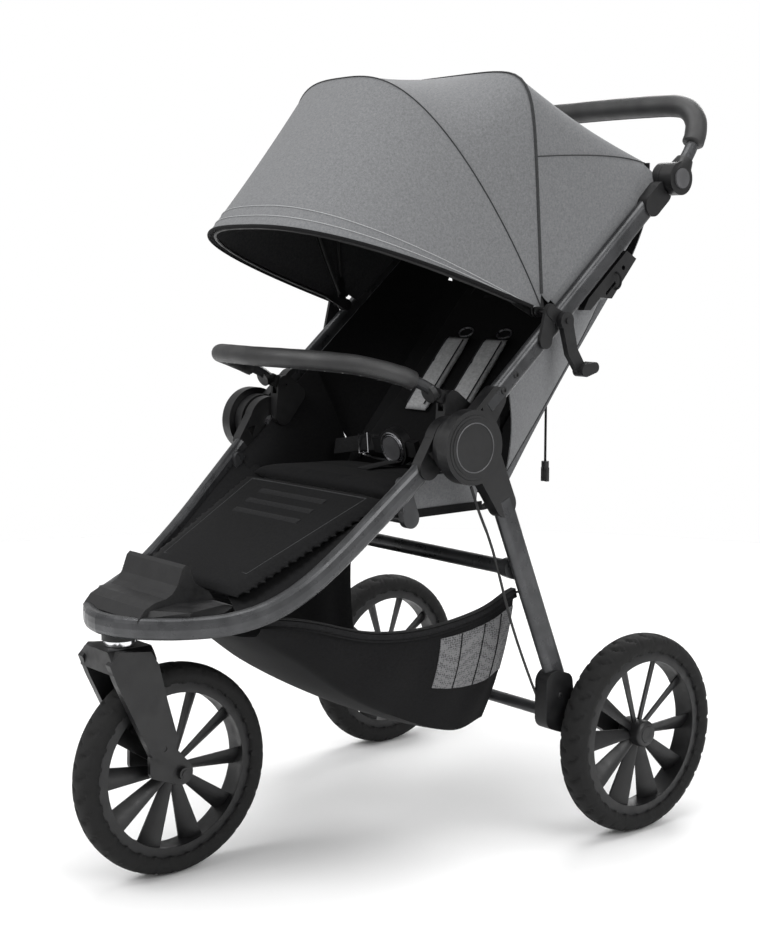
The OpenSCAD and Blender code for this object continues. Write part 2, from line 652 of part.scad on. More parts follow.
// A bow under the cloth, with a flat ear at each end that turns on the canopy's pin at layer x.
module bow(s, x) color("#1d1e20") union() {
    sweep([for (i = [0:28]) arch(x, smaller(s, 6), 6 + 168 * i / 28)], ring(bow_t / 2, 8), [0,
        -sin(s[1]), cos(s[1])]);
    pair() difference() {
        plate(x - 1.5, 3) hull() {
            dot(canopy_pivot, 9);
            dot(canopy_pivot + (arch_reach(s) + 4) * [cos(s[1]), sin(s[1])], 3);
        }
        bar_x(x - 3, 6, canopy_pivot, 4.06);
    }
}
function arch_reach(s) = norm([arch(100, smaller(s, 6), 6)[1], arch(100, smaller(s, 6),
    6)[2]] - canopy_pivot);
bow_layer = canopy_a - bow_step;
module bow_rear() bow(rear, bow_layer);
module bow_mid() bow(mid, bow_layer - bow_step);
module bow_front() bow(visor, bow_layer - 2 * bow_step);
placed() lower_tube();
placed() lower_hinge_plates();
placed() hub_pins();
placed() footplate();
placed() steerer_housing();
placed() steerer_ring();
placed() seat_base();
placed() seat_support_bar();
placed() leg_rest();
placed() side_wings();
placed() basket();
placed() harness_straps();
placed() buckle();
placed() buckle_button();
placed() bumper_brackets();
placed() bumper_tube();
placed() bumper_cover();
placed() bumper_joints();
placed() upper_tubes();
placed() upper_hinge_plates();
placed() handle_housings();
placed() accessory_brackets();
placed() canopy_clamps();
placed() upper_cross_tube();
placed() canopy_rear();
placed() back_curtain();
placed() seat_gussets();
placed() back_shell();
placed() back_pad();
placed() shoulder_pads();
placed() recline_cord();
placed() recline_toggle();
placed() handle_tube();
placed() handle_grip();
placed() handle_joints();
placed() handle_button_left();
placed() handle_button_right();
placed() brake_lever();
placed() brake_cable();
placed() rear_legs();
placed() hub_rings();
placed() hub_caps();
placed() rear_cross_tubes();
placed() axle_boxes();
placed() bow_rear();
placed() bow_mid();
placed() bow_front();
placed() canopy_mid();
placed() canopy_visor();
placed() arm_left();
placed() arm_right();
placed() rear_rim_left();
placed() rear_rim_right();
placed() rear_tyre_left();
placed() rear_tyre_right();
placed() fork();
placed() front_link();
placed() front_wheel();
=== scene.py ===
"""Looks for the jogging stroller: materials, cloth, padding, webbing, tyres and small trim.

Lengths that start as millimetres are the CAD part's own, and at() turns them into the row frame.
"""

import json
import math

import bmesh
import bpy
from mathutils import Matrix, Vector


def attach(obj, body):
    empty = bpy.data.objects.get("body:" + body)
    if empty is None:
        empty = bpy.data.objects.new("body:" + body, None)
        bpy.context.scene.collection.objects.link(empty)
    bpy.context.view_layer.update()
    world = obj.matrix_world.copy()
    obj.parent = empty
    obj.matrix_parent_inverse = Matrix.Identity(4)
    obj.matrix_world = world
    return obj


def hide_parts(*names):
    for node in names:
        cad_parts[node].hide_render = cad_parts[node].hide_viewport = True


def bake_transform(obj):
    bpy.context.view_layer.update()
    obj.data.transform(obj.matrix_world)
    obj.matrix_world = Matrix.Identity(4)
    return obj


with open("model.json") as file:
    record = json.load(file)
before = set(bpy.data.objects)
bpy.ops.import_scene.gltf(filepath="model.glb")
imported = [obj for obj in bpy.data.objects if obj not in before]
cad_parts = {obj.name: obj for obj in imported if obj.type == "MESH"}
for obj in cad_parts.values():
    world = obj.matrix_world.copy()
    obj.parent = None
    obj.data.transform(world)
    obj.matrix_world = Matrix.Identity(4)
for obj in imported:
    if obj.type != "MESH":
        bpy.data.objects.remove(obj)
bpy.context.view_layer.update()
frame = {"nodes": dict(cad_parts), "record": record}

MM = 0.001
BASE_SHIFT = 27  # the CAD part moves everything this far back, to centre it
TUBE_SLOPE = math.radians(40.8)  # of the upper tubes
HUB = (-34, 600)  # y and z of the main fold pivot
SIDES = ((-1, "left"), (1, "right"))


def at(x, y, z):
    """A point of the CAD part, in millimetres before its shift, in the row frame."""
    return Vector((x, y + BASE_SHIFT, z)) * MM


def on_tube(y):
    """Height of the upper tube's middle line at y."""
    return 738 + (y - 115) * math.tan(TUBE_SLOPE)


def full_turn(steps):
    """Evenly spaced angles of one whole turn."""
    return [2 * math.pi * i / steps for i in range(steps)]


def add_object(name, data):
    shown = bpy.data.objects.new(name, data)
    bpy.context.scene.collection.objects.link(shown)
    return shown


# ---------- camera ----------
CAMERA_PLACE = Vector((1.8805, -1.5055, 0.8544))
CAMERA_TURN = math.radians(50.4647)
CAMERA_DROP = math.radians(7.3130)
CAMERA_LENS = 62.345


def make_camera():
    data = bpy.data.cameras.new("camera")
    data.sensor_width = 36
    data.lens = CAMERA_LENS
    data.clip_end = 50
    camera = add_object("camera", data)
    forward = Vector((
        -math.sin(CAMERA_TURN) * math.cos(CAMERA_DROP),
        math.cos(CAMERA_TURN) * math.cos(CAMERA_DROP),
        -math.sin(CAMERA_DROP),
    ))
    camera.rotation_euler = forward.to_track_quat("-Z", "Y").to_euler()
    camera.location = CAMERA_PLACE
    bpy.context.scene.camera = camera


# ---------- materials ----------
def look(name, color, roughness, metallic=0.0, sheen=0.0, coat=0.0):
    """A new material, its node tree, its shader, and object coordinates to draw patterns with."""
    material = bpy.data.materials.new(name)
    material.use_nodes = True
    tree = material.node_tree
    shader = tree.nodes["Principled BSDF"]
    for socket, value in (("Base Color", (*color, 1)), ("Roughness", roughness), ("Metallic", metallic),
                          ("Sheen Weight", sheen), ("Coat Weight", coat)):
        shader.inputs[socket].default_value = value
    coords = tree.nodes.new("ShaderNodeTexCoord").outputs["Object"]
    return material, tree, shader, coords


def grain(tree, coords, scale, detail=3.0, stretch=(1, 1, 1)):
    """Noise of about 1 / scale metres, longer along an axis where stretch is below 1."""
    mapping = tree.nodes.new("ShaderNodeMapping")
    mapping.inputs["Scale"].default_value = stretch
    noise = tree.nodes.new("ShaderNodeTexNoise")
    noise.inputs["Scale"].default_value = scale
    noise.inputs["Detail"].default_value = detail
    tree.links.new(coords, mapping.inputs["Vector"])
    tree.links.new(mapping.outputs["Vector"], noise.inputs["Vector"])
    return noise.outputs["Fac"]


def combine(tree, kind, a, b):
    """A math node's output. Both a and b are numbers or other outputs."""
    math_node = tree.nodes.new("ShaderNodeMath")
    math_node.operation = kind
    for socket, value in zip(math_node.inputs, (a, b)):
        if isinstance(value, (int, float)):
            socket.default_value = value
        else:
            tree.links.new(value, socket)
    return math_node.outputs[0]


def two_tone(tree, shader, value, low, high, dark, light):
    """Colour runs from dark to light as value goes from low to high."""
    ramp = tree.nodes.new("ShaderNodeValToRGB")
    for element, place, tone in zip(ramp.color_ramp.elements, (low, high), (dark, light)):
        element.position = place
        element.color = (*tone, 1)
    tree.links.new(value, ramp.inputs["Fac"])
    tree.links.new(ramp.outputs["Color"], shader.inputs["Base Color"])


def rough_between(tree, shader, value, low, high):
    """Roughness runs from low to high over the middle of the noise's range."""
    spread = tree.nodes.new("ShaderNodeMapRange")
    for socket, limit in (("From Min", 0.35), ("From Max", 0.65), ("To Min", low), ("To Max", high)):
        spread.inputs[socket].default_value = limit
    tree.links.new(value, spread.inputs["Value"])
    tree.links.new(spread.outputs["Result"], shader.inputs["Roughness"])


def raise_bumps(tree, shader, height, distance, strength=0.6):
    bump = tree.nodes.new("ShaderNodeBump")
    bump.inputs["Strength"].default_value = strength
    bump.inputs["Distance"].default_value = distance
    tree.links.new(height, bump.inputs["Height"])
    tree.links.new(bump.outputs["Normal"], shader.inputs["Normal"])


def woven(name, dark, light, thread, sheen=0.1, bump=0.0005):
    """Cloth with short threads along all three axes, so that it reads on any side."""
    material, tree, shader, coords = look(name, light, 0.9, sheen=sheen)
    shader.inputs["Specular IOR Level"].default_value = 0.15
    along_x = grain(tree, coords, thread, 2, (0.25, 1, 1))
    along_y = grain(tree, coords, thread, 2, (1, 0.25, 1))
    along_z = grain(tree, coords, thread, 2, (1, 1, 0.25))
    summed = combine(tree, "ADD", combine(tree, "ADD", along_x, along_y), along_z)
    threads = combine(tree, "MULTIPLY", summed, 1 / 3)
    heather = combine(tree, "MULTIPLY", grain(tree, coords, thread / 3, 4), 0.35)
    mixed = combine(tree, "ADD", combine(tree, "MULTIPLY", threads, 0.65), heather)
    two_tone(tree, shader, mixed, 0.34, 0.66, dark, light)
    raise_bumps(tree, shader, threads, bump)
    return material


def moulded(name, dark, light, roughness, metallic=0.0, coat=0.0):
    """Plastic or paint with a fine texture, faint handling marks and uneven gloss."""
    material, tree, shader, coords = look(name, light, roughness, metallic, coat=coat)
    marks = grain(tree, coords, 28, 5)
    two_tone(tree, shader, marks, 0.35, 0.68, dark, light)
    rough_between(tree, shader, grain(tree, coords, 60, 4), roughness - 0.07, roughness + 0.08)
    raise_bumps(tree, shader, grain(tree, coords, 900, 2), 0.0003, 0.35)
    return material


def leather():
    """Black leatherette with a fine creased grain and worn patches."""
    material, tree, shader, coords = look("leatherette", (0.02, 0.02, 0.021), 0.45)
    cells = tree.nodes.new("ShaderNodeTexVoronoi")
    cells.feature = "DISTANCE_TO_EDGE"
    cells.inputs["Scale"].default_value = 420
    tree.links.new(coords, cells.inputs["Vector"])
    creases = combine(tree, "MINIMUM", cells.outputs["Distance"], 0.2)
    wear = grain(tree, coords, 22, 5)
    two_tone(tree, shader, wear, 0.35, 0.7, (0.012, 0.012, 0.0125), (0.028, 0.028, 0.0285))
    rough_between(tree, shader, wear, 0.52, 0.38)
    raise_bumps(tree, shader, creases, 0.0011, 0.7)
    return material


def rubber():
    material, tree, shader, coords = look("tyre_rubber", (0.02, 0.02, 0.02), 0.82)
    shader.inputs["Specular IOR Level"].default_value = 0.3
    dust = grain(tree, coords, 45, 6)
    two_tone(tree, shader, dust, 0.35, 0.75, (0.0045, 0.0045, 0.0047), (0.012, 0.0119, 0.0117))
    rough_between(tree, shader, dust, 0.72, 0.9)
    raise_bumps(tree, shader, grain(tree, coords, 700, 3), 0.0004)
    return material


def open_mesh():
    """Knitted mesh: small dark holes in a gray net."""
    material, tree, shader, coords = look("mesh_net", (0.1, 0.1, 0.105), 0.85, sheen=0.2)
    cells = tree.nodes.new("ShaderNodeTexVoronoi")
    cells.inputs["Scale"].default_value = 300
    cells.inputs["Randomness"].default_value = 0.4
    tree.links.new(coords, cells.inputs["Vector"])
    holes = cells.outputs["Distance"]
    two_tone(tree, shader, holes, 0.3, 0.52, (0.045, 0.045, 0.047), (0.15, 0.15, 0.154))
    raise_bumps(tree, shader, holes, 0.0008, 0.8)
    return material


def metal(name, color, roughness):
    material, tree, shader, coords = look(name, color, roughness, 1.0)
    brushed = grain(tree, coords, 500, 3, (0.15, 1, 1))
    rough_between(tree, shader, brushed, roughness * 0.7, roughness * 1.4)
    raise_bumps(tree, shader, brushed, 0.0001, 0.3)
    return material


MOULDED = {  # dark tone, light tone, roughness, metallic, coat
    "frame_paint": ((0.038, 0.039, 0.041), (0.064, 0.065, 0.068), 0.32, 0.5, 0.1),
    "black_plastic": ((0.0025, 0.0025, 0.003), (0.0055, 0.0055, 0.006), 0.45),
    "dark_plastic": ((0.003, 0.003, 0.0035), (0.006, 0.006, 0.0065), 0.5),
    "button_gray": ((0.06, 0.06, 0.063), (0.1, 0.1, 0.105), 0.5),
}
WOVEN = {  # dark tone, light tone, threads to a metre, sheen, height of the threads in metres
    "melange_cloth": ((0.104, 0.106, 0.11), (0.19, 0.193, 0.198), 900, 0.08),
    "pad_cloth": ((0.3, 0.302, 0.306), (0.56, 0.565, 0.57), 480),
    "black_cloth": ((0.003, 0.003, 0.0034), (0.0085, 0.0085, 0.009), 700, 0.02),
    # The canopy lining's tones are black cloth made several times lighter: painted light for the canopy's
    # inside, where little lamp light reaches.
    "lining_with_painted_light": ((0.02, 0.02, 0.021), (0.045, 0.045, 0.047), 700, 0.03),
    "webbing": ((0.006, 0.006, 0.0065), (0.018, 0.018, 0.019), 760, 0.04, 0.0008),
    "binding": ((0.02, 0.0205, 0.021), (0.05, 0.051, 0.053), 800, 0.05),
    "thread_gray": ((0.24, 0.245, 0.25), (0.42, 0.425, 0.43), 1500, 0.1),
}
MATERIALS = {
    **{name: moulded(name, *values) for name, values in MOULDED.items()},
    **{name: woven(name, *values) for name, values in WOVEN.items()},
    "steel": metal("steel", (0.5, 0.5, 0.52), 0.3),
    "chrome_ring": metal("chrome_ring", (0.75, 0.75, 0.77), 0.12),
    "leatherette": leather(),
    "tyre_rubber": rubber(),
    "mesh_cloth": open_mesh(),
}


# ---------- mesh tools ----------
def piece(name, points, faces, material, body=None, stands_for=(), slot=None, inner=None):
    """A smooth mesh object from points in metres.

    inner is a second material and the number of the first face that takes it.
    """
    mesh = bpy.data.meshes.new(name)
    mesh.from_pydata([tuple(p) for p in points], [], faces)
    mesh.materials.append(MATERIALS[material])
    for polygon in mesh.polygons:
        polygon.use_smooth = True
    if inner:
        second, first_face = inner
        mesh.materials.append(MATERIALS[second])
        for polygon in mesh.polygons[first_face:]:
            polygon.material_index = 1
    mesh.validate()
    mesh.set_sharp_from_angle(angle=math.radians(42))
    shown = add_object(name, mesh)
    if stands_for:
        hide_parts(*stands_for)
    if body:
        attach(shown, body)
    return shown


def outward(shown, weld=0):
    """Turns all faces outward, and first joins points that are closer than weld metres."""
    cells = bmesh.new()
    cells.from_mesh(shown.data)
    if weld:
        bmesh.ops.remove_doubles(cells, verts=cells.verts, dist=weld)
    bmesh.ops.recalc_face_normals(cells, faces=cells.faces)
    cells.to_mesh(shown.data)
    cells.free()
    return shown


def flowing(points, steps=8):
    """A smooth line through the points, with this many steps between each two."""
    ends = [2 * points[0] - points[1], *points, 2 * points[-1] - points[-2]]
    line = []
    for i in range(1, len(ends) - 2):
        a, b, c, d = ends[i - 1:i + 3]
        for step in range(steps):
            t = step / steps
            line.append(0.5 * (2 * b + (c - a) * t + (2 * a - 5 * b + 4 * c - d) * t * t
                               + (3 * b - a - 3 * c + d) * t ** 3))
    return [*line, points[-1]]


def circle(radius, sides):
    return [(radius * math.cos(t), radius * math.sin(t)) for t in full_turn(sides)]


def flat(width, thick):
    """Outline of a strap, width across and thick through, with softened corners."""
    w, h = width / 2, thick / 2
    return [(w, -h / 2), (w, h / 2), (w - h, h), (h - w, h), (-w, h / 2), (-w, -h / 2),
            (h - w, -h), (w - h, -h)]


def ring_faces(rings, sides, closed=False):
    """Faces between rings of points, with the last ring joined to the first when closed."""
    return [(i * sides + j, i * sides + (j + 1) % sides,
             (i + 1) % rings * sides + (j + 1) % sides, (i + 1) % rings * sides + j)
            for i in range(rings if closed else rings - 1) for j in range(sides)]


def swept(name, line, outline, up, material, body=None, loop=False, size=None, **more):
    """An outline carried along a line. Its second axis leans toward up, or up(point).

    size gives the outline's scale at a share of the line.
    """
    points, n, m = [], len(line), len(outline)
    for i, point in enumerate(line):
        before = line[i - 1] if i or loop else point
        after = line[(i + 1) % n] if i < n - 1 or loop else point
        tangent = (after - before).normalized()
        lean = Vector(up(point) if callable(up) else up)
        side = tangent.cross(lean).normalized()
        lift = side.cross(tangent)
        scale = size(i / max(1, n - 1)) if size else 1
        points += [point + (side * a + lift * b) * MM * scale for a, b in outline]
    faces = ring_faces(n, m, loop)
    if not loop:
        faces += [tuple(range(m))[::-1], tuple(range((n - 1) * m, n * m))]
    return outward(piece(name, points, faces, material, body, **more))


def cells_of(rows, cols, start=0, back=False):
    """Faces of a grid of points whose first is number start, seen from the back if asked."""
    faces = [(start + i * cols + j, start + i * cols + j + 1,
              start + (i + 1) * cols + j + 1, start + (i + 1) * cols + j)
             for i in range(rows - 1) for j in range(cols - 1)]
    return [f[::-1] for f in faces] if back else faces


def cloth(name, grid, thick, material, lining=None, inward=1, **more):
    """A closed sheet of cloth. grid holds rows of points, and thick in mm goes to the lining's side."""
    rows, cols = len(grid), len(grid[0])
    inner = []
    for i in range(rows):
        for j in range(cols):
            across = grid[i][min(j + 1, cols - 1)] - grid[i][max(j - 1, 0)]
            along = grid[min(i + 1, rows - 1)][j] - grid[max(i - 1, 0)][j]
            inner.append(grid[i][j] + along.cross(across).normalized() * thick * MM * inward)
    points = [p for row in grid for p in row] + inner
    n = rows * cols
    faces = cells_of(rows, cols)
    edge = ([i * cols for i in range(rows)] + [(rows - 1) * cols + j for j in range(1, cols)]
            + [i * cols + cols - 1 for i in range(rows - 2, -1, -1)] + list(range(cols - 2, 0, -1)))
    rim = [(a, b, b + n, a + n) for a, b in zip(edge, edge[1:] + edge[:1])]
    first_inner = len(faces) + len(rim)
    faces += rim + cells_of(rows, cols, n, True)
    lined = (lining, first_inner) if lining else None
    return outward(piece(name, points, faces, material, inner=lined, **more))


# ---------- hanging cord ----------
CORD_ROUTE = [(90, 268, 724), (90, 275, 719), (90, 281, 712),
              *((90, 283, z) for z in (702, 680, 650, 620, 590, 560, 540))]
CORD_RADIUS = 2


def make_cord():
    line = [at(*p) for p in CORD_ROUTE]
    data = bpy.data.curves.new("recline_pull_cord", "CURVE")
    data.dimensions = "3D"
    data.bevel_depth = CORD_RADIUS * MM
    data.bevel_resolution = 4
    data.use_fill_caps = True
    route = data.splines.new("POLY")
    route.points.add(len(line) - 1)
    for target, point in zip(route.points, line):
        target.co = (*point, 1)
    data.materials.append(MATERIALS["webbing"])
    shown = add_object("recline_pull_cord", data)
    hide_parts("recline_cord")
    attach(shown, "backrest")


# ---------- canopy ----------
CANOPY_PIVOT = (127, 782)
CANOPY_CENTRE = at(0, *CANOPY_PIVOT)
CANOPY_HALF = 234
# Each arch: reach from the pivot in mm, lean in degrees, how square it is on top and at the sides.
REAR_EDGE = (331, 43.2, 12, 12)
REAR = (341, 94.1, 10.8, 8.4)
MIDDLE = (378, 118.4, 1.8, 3)
VISOR = (377, 161.6, 2.62, 2.62)
SAGS = {"rear": 7, "mid": 3, "visor": 2}  # how far each panel is pulled in at its middle
STRIP_STEPS = 7
CANOPY_COLS = 84
FIRST_TURN = 3  # the cloth starts this far round the arch from each foot


def arch(shape, turn):
    """A point on a superellipse arch, turn degrees round from its right foot."""
    reach, lean, low, side = shape
    power = (low + side) / 4
    c, s = math.cos(math.radians(turn)), math.sin(math.radians(turn))
    a, b = abs(c) ** power, abs(s) ** power
    long = math.hypot(a, b)
    a, b = a / long, b / long
    r = reach * b ** (2 / low)
    lean = math.radians(lean)
    return at(CANOPY_HALF * math.copysign(a ** (2 / side), c), CANOPY_PIVOT[0] + r * math.cos(lean),
              CANOPY_PIVOT[1] + r * math.sin(lean))


def panel_point(first, last, along, turn, sag):
    """A point on the stretched cloth between two arches, pulled slightly in at its middle."""
    point = arch(first, turn).lerp(arch(last, turn), along)
    inward = CANOPY_CENTRE - point
    inward.x *= 0.35
    dip = sag * 4 * along * (1 - along) * math.sin(math.radians(turn)) ** 0.5
    return point + inward.normalized() * dip * MM


def from_centre(point):
    return point - CANOPY_CENTRE


def lifted(point, lift):
    """The point, moved lift mm away from the canopy's pivot."""
    return point + from_centre(point).normalized() * lift * MM


def turns_across():
    return [FIRST_TURN + (180 - 2 * FIRST_TURN) * j / CANOPY_COLS for j in range(CANOPY_COLS + 1)]


def even_shading(shown, normals):
    """Gives the outer layer these normals and the lining their opposites, so strips meet unseen."""
    both = normals + [-n for n in normals]
    shown.data.normals_split_custom_set_from_vertices([tuple(n) for n in both])


def panel_normal(first, last, along, turn, sag):
    """Outward normal of the whole panel, taken across both of its halves."""
    step, spread = 0.02, 1.0
    across = (panel_point(first, last, along, min(turn + spread, 180 - FIRST_TURN), sag)
              - panel_point(first, last, along, max(turn - spread, FIRST_TURN), sag))
    forward = (panel_point(first, last, along + step, turn, sag)
               - panel_point(first, last, along - step, turn, sag))
    normal = forward.cross(across).normalized()
    outwards = from_centre(panel_point(first, last, along, turn, sag))
    return normal if normal.dot(outwards) > 0 else -normal


def canopy_strip(name, first, last, start, end, node, sag):
    """Half a panel, from start to end of the way between two arches."""
    shares = [start + (end - start) * i / STRIP_STEPS for i in range(STRIP_STEPS + 1)]
    grid = [[panel_point(first, last, share, t, sag) for t in turns_across()] for share in shares]
    # The lining's colour holds painted light for the canopy's dimly lit inside.
    shown = cloth(name, grid, 2, "melange_cloth", "lining_with_painted_light", stands_for=(node,))
    even_shading(shown, [panel_normal(first, last, share, t, sag)
                         for share in shares for t in turns_across()])
    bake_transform(shown)


def arch_trim(name, shape, body, outline, material, lift=0.6):
    """Piping or tape that runs over the canopy along one arch."""
    line = [lifted(arch(shape, turn), lift) for turn in turns_across()]
    swept(name, line, outline, from_centre, material, body, slot="webbing")


FLAP_TURNS = (46, 31)  # where the rear panel's flap seam meets the rear edge and the rear arch
SEAM_STEPS = 12
HALVES = (("back", 0, 0.5), ("front", 0.5, 1))  # of a panel, from one arch to the next
REAR_BODIES = ("upper_frame", "panel_rear", "hood_rear")


def make_flap_seam():
    """Piping along the flap, in the same two halves as the cloth under it."""
    for number, (half, start, end) in enumerate(HALVES):
        for side, mirrored in (("right", False), ("left", True)):
            line = []
            for i in range(SEAM_STEPS + 1):
                along = start + (end - start) * i / SEAM_STEPS
                turn = FLAP_TURNS[0] + (FLAP_TURNS[1] - FLAP_TURNS[0]) * along
                turn = 180 - turn if mirrored else turn
                line.append(lifted(panel_point(REAR_EDGE, REAR, along, turn, SAGS["rear"]), 0.7))
            shown = swept(f"canopy_flap_seam_{half}_{side}", line, circle(0.8, 8), (0, 0.3, 1), "binding",
                          slot="melange_cloth")
            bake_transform(shown)


def make_side_flaps():
    """Fixed cloth on each side, from the canopy's rear edge down to the upper tube."""
    steps, first_turn, last_turn = 14, 4, 45
    for side, name in SIDES:
        rows = []
        for j in range(steps + 1):
            edge = arch(REAR_EDGE, first_turn + (last_turn - first_turn) * j / steps)
            edge.x *= side
            y = edge.y / MM - BASE_SHIFT
            above_tube = edge.z / MM - on_tube(y)
            foot_y = y + above_tube * math.sin(TUBE_SLOPE) * math.cos(TUBE_SLOPE)
            foot = at(side * 231, foot_y, on_tube(foot_y) + 9)
            rows.append([edge.lerp(foot, k / 5) for k in range(6)])
        # The flap's lining colour holds the same painted light as the canopy's lining.
        shown = cloth(f"canopy_side_flap_{name}", rows, 1.8, "melange_cloth", "lining_with_painted_light", side,
                      body="upper_frame")


CANOPY_PANELS = (
    ("rear", REAR_EDGE, REAR, REAR_BODIES, ("upper_cross_tube", "bow_rear")),
    ("mid", REAR, MIDDLE, ("hood_rear", "panel_mid", "hood_mid"), ("bow_rear", "bow_mid")),
    ("visor", MIDDLE, VISOR, ("hood_mid", "panel_front", "hood_front"), ("bow_mid", "bow_front")),
)


def make_canopy():
    for panel, first, last, bodies, supports in CANOPY_PANELS:
        for number, (half, start, end) in enumerate(HALVES):
            canopy_strip(f"canopy_{panel}_{half}", first, last, start, end,
                         f"canopy_{panel}", SAGS[panel])
    arch_trim("canopy_rear_binding", REAR, "hood_rear", flat(5, 1.4), "binding")
    arch_trim("canopy_mid_piping", MIDDLE, "hood_mid", circle(0.9, 8), "binding")
    arch_trim("canopy_visor_lip", VISOR, "hood_front", flat(5, 3), "black_cloth", 0)
    for row, share in (("outer", 0.93), ("inner", 0.865)):
        line = [lifted(panel_point(MIDDLE, VISOR, share, t, SAGS["visor"]), 0.5) for t in turns_across()]
        swept(f"canopy_hem_stitch_{row}", line, circle(0.7, 6), from_centre, "thread_gray",
              "hood_front", slot="melange_cloth")
    make_flap_seam()
    make_side_flaps()


# ---------- seat ----------
BACK_ORIGIN = (86, 536)
BACK_TILT = math.radians(50)
VOXEL = 0.006
PUFF_FRAMES = 14


def on_back(x, up, out):
    """A point of the backrest: up along it, and out from its face."""
    y = BACK_ORIGIN[0] + up * math.cos(BACK_TILT) - out * math.sin(BACK_TILT)
    z = BACK_ORIGIN[1] + up * math.sin(BACK_TILT) + out * math.cos(BACK_TILT)
    return at(x, y, z)


def simulate_padding(shown, cap):
    """Puffs a pad with cloth pressure, caps how far it swells and leaves a plain mesh."""
    remesh = shown.modifiers.new("remesh", "REMESH")
    remesh.mode = "VOXEL"
    remesh.voxel_size = VOXEL
    bpy.context.view_layer.objects.active = shown
    bpy.ops.object.modifier_apply(modifier=remesh.name)
    before = [v.co.copy() for v in shown.data.vertices]
    puff = shown.modifiers.new("puff", "CLOTH")
    puff.settings.use_pressure = True
    puff.settings.uniform_pressure_force = 4
    puff.settings.effector_weights.gravity = 0
    for number in range(1, PUFF_FRAMES + 1):
        bpy.context.scene.frame_set(number)
    bpy.ops.object.modifier_apply(modifier=puff.name)
    bpy.context.scene.frame_set(1)
    for vertex, start in zip(shown.data.vertices, before):
        move = vertex.co - start
        if move.length > cap * MM:
            vertex.co = start + move * (cap * MM / move.length)
    for polygon in shown.data.polygons:
        polygon.use_smooth = True


def pad(name, place, half_width, length, thick, material, body, nodes, cap=5, channels=()):
    """A crowned pad. place(x, v, out) gives a point, half_width(v) its shape, both in mm."""
    rows, cols = 26, 22
    points = []
    for side in (1, -1):
        for i in range(rows + 1):
            v = i / rows
            for j in range(cols + 1):
                u = 2 * j / cols - 1
                edge = (1 - abs(u) ** 4) ** 0.5 * (1 - abs(2 * v - 1) ** 6) ** 0.5
                groove = sum(depth * math.exp(-((v - where) / 0.014) ** 2)
                             for where, depth, reach in channels if abs(u) < reach)
                out = side * thick / 2 * edge - (groove if side > 0 else 0)
                pull = 1 - 0.03 * math.sin(math.pi * v)
                points.append(place(half_width(v) * u * pull, v * length, out))
    n = (rows + 1) * (cols + 1)
    faces = cells_of(rows + 1, cols + 1) + cells_of(rows + 1, cols + 1, n, True)
    shown = outward(piece(name, points, faces, material, stands_for=nodes), weld=0.0002)
    if cap:
        simulate_padding(shown, cap)
    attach(shown, body)


SEAT_LENGTH = 194


def on_seat(x, along, out):
    """A point of the seat: along it toward the back, and out from its top."""
    share = along / SEAT_LENGTH
    return at(x, -106 + SEAT_LENGTH * share, 530 - 7 * share + out)


LEG_REST_TOP = (-94, 527)
LEG_REST_FOOT = (-326, 412)


def on_leg_rest(x, along, out):
    """A point of the leg rest, which slopes down from the seat's front edge."""
    (y0, z0), (y1, z1) = LEG_REST_TOP, LEG_REST_FOOT
    long = math.hypot(y1 - y0, z1 - z0)
    dy, dz = (y1 - y0) / long, (z1 - z0) / long
    return at(x, y0 + dy * along + out * dz, z0 + dz * along - out * dy)


def surface_ribbon(name, place, ends, out, outline, material, body):
    """A strap or seam along straight runs of a pad, given as (x, along) pairs, out from its surface."""
    line, steps = [], 14
    for (x0, v0), (x1, v1) in zip(ends, ends[1:]):
        line += [place(x0 + (x1 - x0) * i / steps, v0 + (v1 - v0) * i / steps, out) for i in range(steps)]
    line.append(place(ends[-1][0], ends[-1][1], out))
    normal = place(0, 0, 10) - place(0, 0, 0)
    swept(name, line, outline, normal, material, body)


# y and z of the cloth in the crease behind the seat, and how far its ends curl back and up
CREASE_LINE = ((58, 520, 0), (74, 518, 0), (88, 521, 2), (94, 530, 8), (95, 538, 14))


def make_seat():
    pad("seat_cushion", on_seat, lambda v: 178, SEAT_LENGTH, 24, "black_cloth", "lower_frame",
        ("seat_base",), cap=4, channels=((0.5, 2.5, 0.8),))
    pad("leg_rest_pad", on_leg_rest, lambda v: 188 - 48 * v, 272, 13, "black_cloth", "lower_frame",
        ("leg_rest",), cap=3)
    for number, along in enumerate((50, 76, 102)):
        surface_ribbon(f"leg_rest_rib_{number + 1}", on_leg_rest, [(-84, along), (74, along)], 6.6,
                       flat(15, 7), "webbing", "lower_frame")
    frame_line = [(-138, 24), (138, 24), (104, 226), (-104, 226), (-138, 24)]
    surface_ribbon("leg_rest_frame_seam", on_leg_rest, frame_line, 7.4, circle(1.3, 8), "binding",
                   "lower_frame")
    pad("back_cushion", on_back, lambda v: 154 - 20 * v, 364, 22, "black_cloth", "backrest",
        ("back_pad",), cap=5, channels=((0.33, 3, 0.9), (0.66, 3, 0.9)))
    for side, name in SIDES:
        surface_ribbon(f"back_seam_{name}", on_back,
                       [(side * 104, 20), (side * 92, 350)], 11.5, circle(1.2, 8), "binding", "backrest")
    pad("back_shell_cover", lambda x, up, out: on_back(x, up, out - 30), lambda v: 176 - 14 * v, 366, 24,
        "melange_cloth", "backrest", ("back_shell",), cap=0)
    for side, name in SIDES:
        make_shoulder_pad(side, name)
    crease = []
    for k in range(-8, 9):
        curl = abs(k / 8) ** 4
        crease.append([at(180 * k / 8, y + rise * curl, z + rise * curl) for y, z, rise in CREASE_LINE])
    cloth("seat_crease_cloth", crease, 1.8, "black_cloth", body="lower_frame")
    make_wings()
    make_harness()
    make_gussets()


